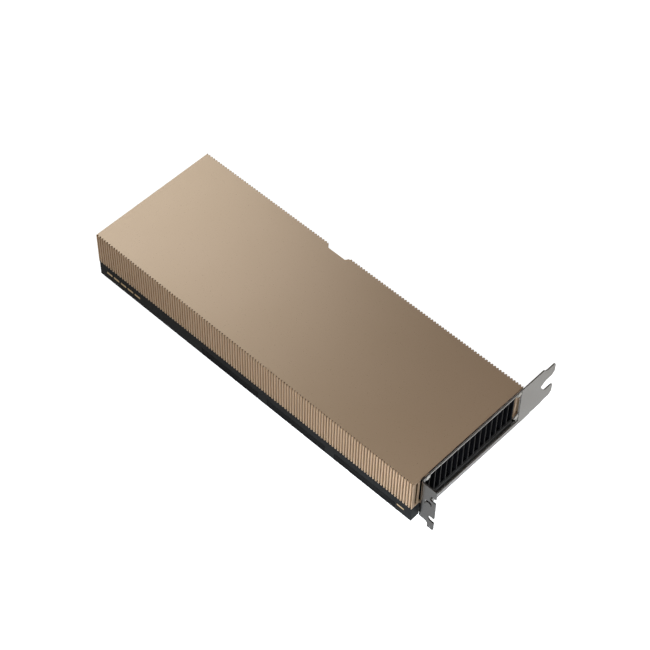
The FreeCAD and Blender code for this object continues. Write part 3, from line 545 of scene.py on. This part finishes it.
def makePrint(name, row, setup):
    # drawn in millimetres from the frame's tail, near side and foot, then moved there
    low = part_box("lower_frame")[0]
    mesh = bmesh.new()
    upright = Matrix.Rotation(math.radians(90), 4, "X")
    for step in range(row["count"]):
        middle = row["fromTail"] + step * row["pitch"] + row["length"] / 2
        place = Matrix.Translation((middle, 0, setup["centreHeight"]))
        corners = addSheet(mesh, place @ upright @ Matrix.Diagonal((row["length"], row["height"], 1, 1)))
        bmesh.ops.bevel(
            mesh, geom=corners, offset=setup["corner"], offset_type="OFFSET", affect="VERTICES",
            segments=setup["cornerSegments"], profile=0.5, material=-1)
    thicken(mesh, list(mesh.faces), (0, -setup["film"], 0))
    bmesh.ops.recalc_face_normals(mesh, faces=mesh.faces)
    bmesh.ops.transform(
        mesh, matrix=Matrix.Translation(low) @ Matrix.Scale(millimetre, 4), verts=mesh.verts)
    piece = meshObject(mesh, name, [materials["goldInk"]])
    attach(piece, "root")


makePrint("tail_print", printSetup["tailRow"], printSetup)
makePrint("front_print", printSetup["frontDash"], printSetup)
print("printed bars made")


# pale floor, pale world and soft lamps
stageSetup = {
    "floorSize": 8.0, "floorColour": "#CCCCCC",            # metres, and the matt paint under the glow
    "seenLift": 0.86,                                      # the floor's glow for the camera: 1 is white
    "mirroredLift": 0.22, "mirroredColour": "#FFE9CC",     # its glow in mirror images
    "worldColour": "#FFF2E2", "worldStrength": 0.24,       # the room, as it lights the card
    "seenStrength": 1.0,                                   # the world for the camera
}
lampSetup = [
    # name, direction from the card, distance and size in metres, watts, colour, and what it meets:
    # "matt" leaves mirror images out, "mirror" is in them only
    ("softboxLeft", (-0.72, 0.27, 0.58), 1.5, (1.0, 1.0), 7.7, "#EAF8FF", "all"),
    # this near one would burn out the roof's mirror image in views from behind
    ("softboxFront", (0.75, -0.62, 0.25), 0.42, (0.25, 0.15), 3.6, "#EEF8FF", "matt"),
    ("softboxBack", (0.40, 0.86, 0.30), 1.5, (1.4, 0.8), 2.4, "#FFFFFF", "all"),
    # and this wide one takes its place there
    ("softboxWide", (0.25, -0.80, 0.55), 2.0, (2.0, 1.2), 2.2, "#FFFFFF", "mirror"),
]


def floorMaterial(setup):
    # nearly white where it is looked at, dimmer and warmer in mirror images, clear from below
    material = bpy.data.materials.new("paleFloor")
    tree = emptyTree(material)
    paint = addNode(tree, "ShaderNodeBsdfDiffuse", {"Color": hexColour(setup["floorColour"])})
    rays = addNode(tree, "ShaderNodeLightPath", {}).outputs
    mirrored = maths(tree, "MAXIMUM", rays["Is Glossy Ray"], rays["Is Transmission Ray"])
    seen = maths(tree, "MULTIPLY", rays["Is Camera Ray"], setup["seenLift"])
    glow = addNode(tree, "ShaderNodeEmission", {
        "Color": mixColours(tree, mirrored, white, hexColour(setup["mirroredColour"])),
        "Strength": maths(tree, "MULTIPLY_ADD", mirrored, setup["mirroredLift"], seen)})
    both = addNode(tree, "ShaderNodeAddShader", {0: paint.outputs["BSDF"], 1: glow.outputs["Emission"]})
    clear = addNode(tree, "ShaderNodeBsdfTransparent", {})
    under = addNode(tree, "ShaderNodeNewGeometry", {}).outputs["Backfacing"]
    shown = addNode(tree, "ShaderNodeMixShader", {
        "Fac": under, 1: both.outputs["Shader"], 2: clear.outputs["BSDF"]})
    addNode(tree, "ShaderNodeOutputMaterial", {"Surface": shown.outputs["Shader"]})
    return material


def makeFloor(setup):
    mesh = bmesh.new()
    bmesh.ops.create_grid(mesh, x_segments=1, y_segments=1, size=setup["floorSize"] / 2)
    bmesh.ops.translate(mesh, vec=(0, 0, cadLow.z), verts=mesh.verts)
    floor = meshObject(mesh, "floor", [floorMaterial(setup)])


def makeWorld(setup):
    # white where it is looked at or through, while the satin metal mirrors the dimmer room
    world = bpy.data.worlds.new("studio")
    tree = emptyTree(world)
    rays = addNode(tree, "ShaderNodeLightPath", {}).outputs
    seen = maths(tree, "MAXIMUM", rays["Is Camera Ray"], rays["Is Transmission Ray"])
    room = addNode(tree, "ShaderNodeBackground", {
        "Color": hexColour(setup["worldColour"]), "Strength": setup["worldStrength"]})
    paper = addNode(tree, "ShaderNodeBackground", {"Color": white, "Strength": setup["seenStrength"]})
    shown = addNode(tree, "ShaderNodeMixShader", {
        "Fac": seen, 1: room.outputs["Background"], 2: paper.outputs["Background"]})
    addNode(tree, "ShaderNodeOutputWorld", {"Surface": shown.outputs["Shader"]})
    bpy.context.scene.world = world


def makeLamps(lamps):
    centre = (cadLow + cadHigh) / 2
    for name, direction, distance, size, watts, colour, meets in lamps:
        light = bpy.data.lights.new(name, "AREA")
        light.shape = "RECTANGLE"
        light.size, light.size_y = size
        light.energy = watts
        light.color = hexColour(colour)[:3]
        lamp = bpy.data.objects.new(name, light)
        lamp.location = centre + Vector(direction).normalized() * distance
        lamp.rotation_euler = Vector(direction).to_track_quat("Z", "Y").to_euler()
        lamp.visible_diffuse = meets != "mirror"
        lamp.visible_glossy = meets != "matt"
        bpy.context.scene.collection.objects.link(lamp)


makeFloor(stageSetup)
makeWorld(stageSetup)
makeLamps(lampSetup)
bpy.context.scene.view_settings.view_transform = "Standard"
print("stage and lamps set")
